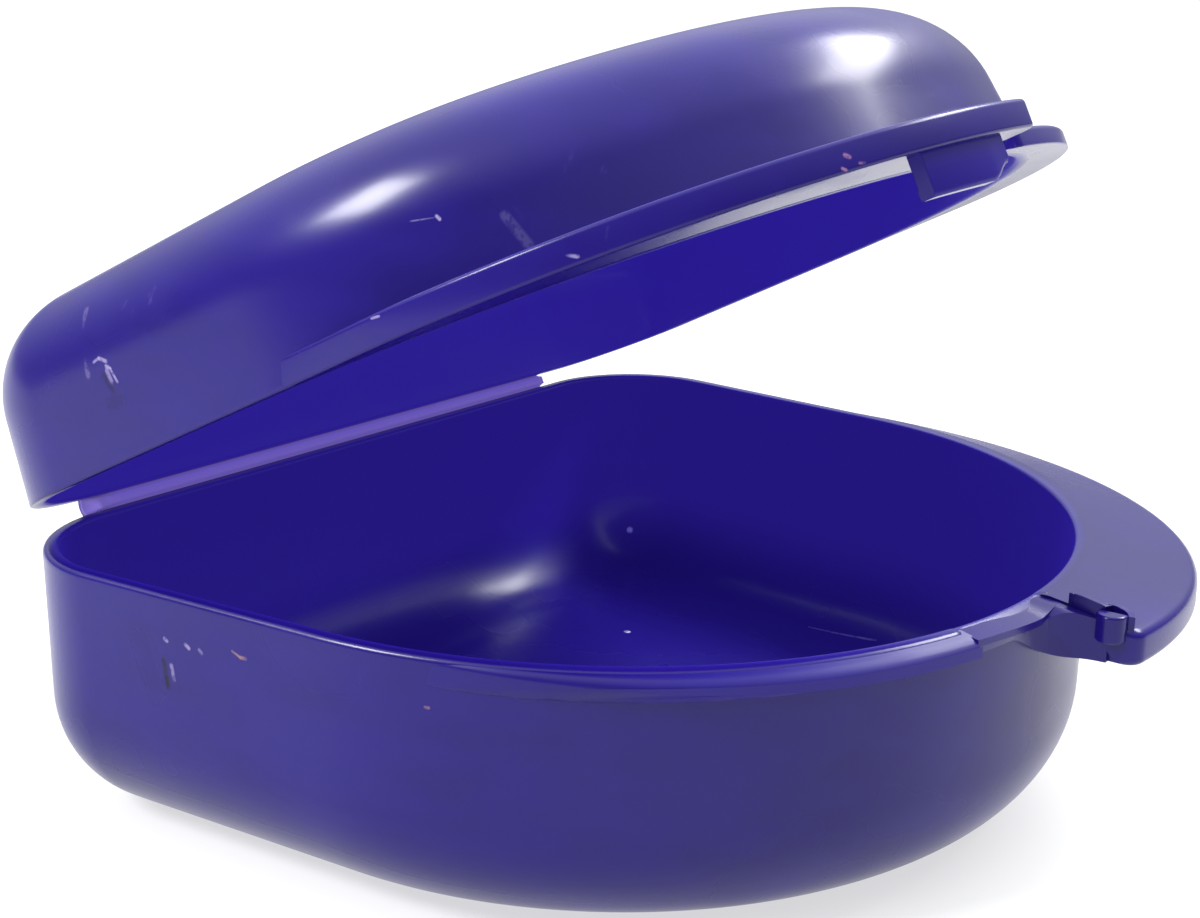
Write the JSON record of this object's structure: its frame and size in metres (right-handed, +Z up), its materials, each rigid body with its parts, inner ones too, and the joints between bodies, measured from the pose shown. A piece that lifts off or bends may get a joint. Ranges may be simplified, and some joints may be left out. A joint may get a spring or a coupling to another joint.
{
  "type": "mouth guard case",
  "caption": "Deep rounded box with a domed lid on a living hinge, thumb flanges round the front of each rim and a snap hook; drawn part way open.",
  "frame": {"origin": "centre of the flat base, half way between the back wall and the front of the rim", "axes": "+Z up from the base, X along the hinge, -Y towards the thumb flanges"},
  "size_m": [0.08, 0.0794, 0.0618],
  "materials": {
    "shell_plastic": "moulded polypropylene, satin gloss",
    "rim_plastic": "moulded polypropylene, satin gloss, slightly worn",
    "hinge_plastic": "thin moulded polypropylene, gloss"
  },
  "bodies": {
    "tray": {"tray_shell": "shell_plastic", "tray_rim_band": "rim_plastic", "tray_catch_ledge": "rim_plastic", "tray_thumb_flange": "rim_plastic", "tray_latch_post": "rim_plastic", "tray_end_column": "rim_plastic", "living_hinge": "hinge_plastic"},
    "lid": {"lid_shell": "shell_plastic", "lid_latch_flange": "rim_plastic", "lid_lap_flange": "rim_plastic", "lid_latch_hook": "rim_plastic"}
  },
  "joints": [
    {"name": "lid_hinge", "type": "hinge", "parent": "tray", "child": "lid", "pos_m": [0, 0.03602, 0.0198], "axis": [-1, 0, 0], "range_deg": [-26, 154], "deforming": ["living_hinge", "lid_latch_hook"]}
  ]
}
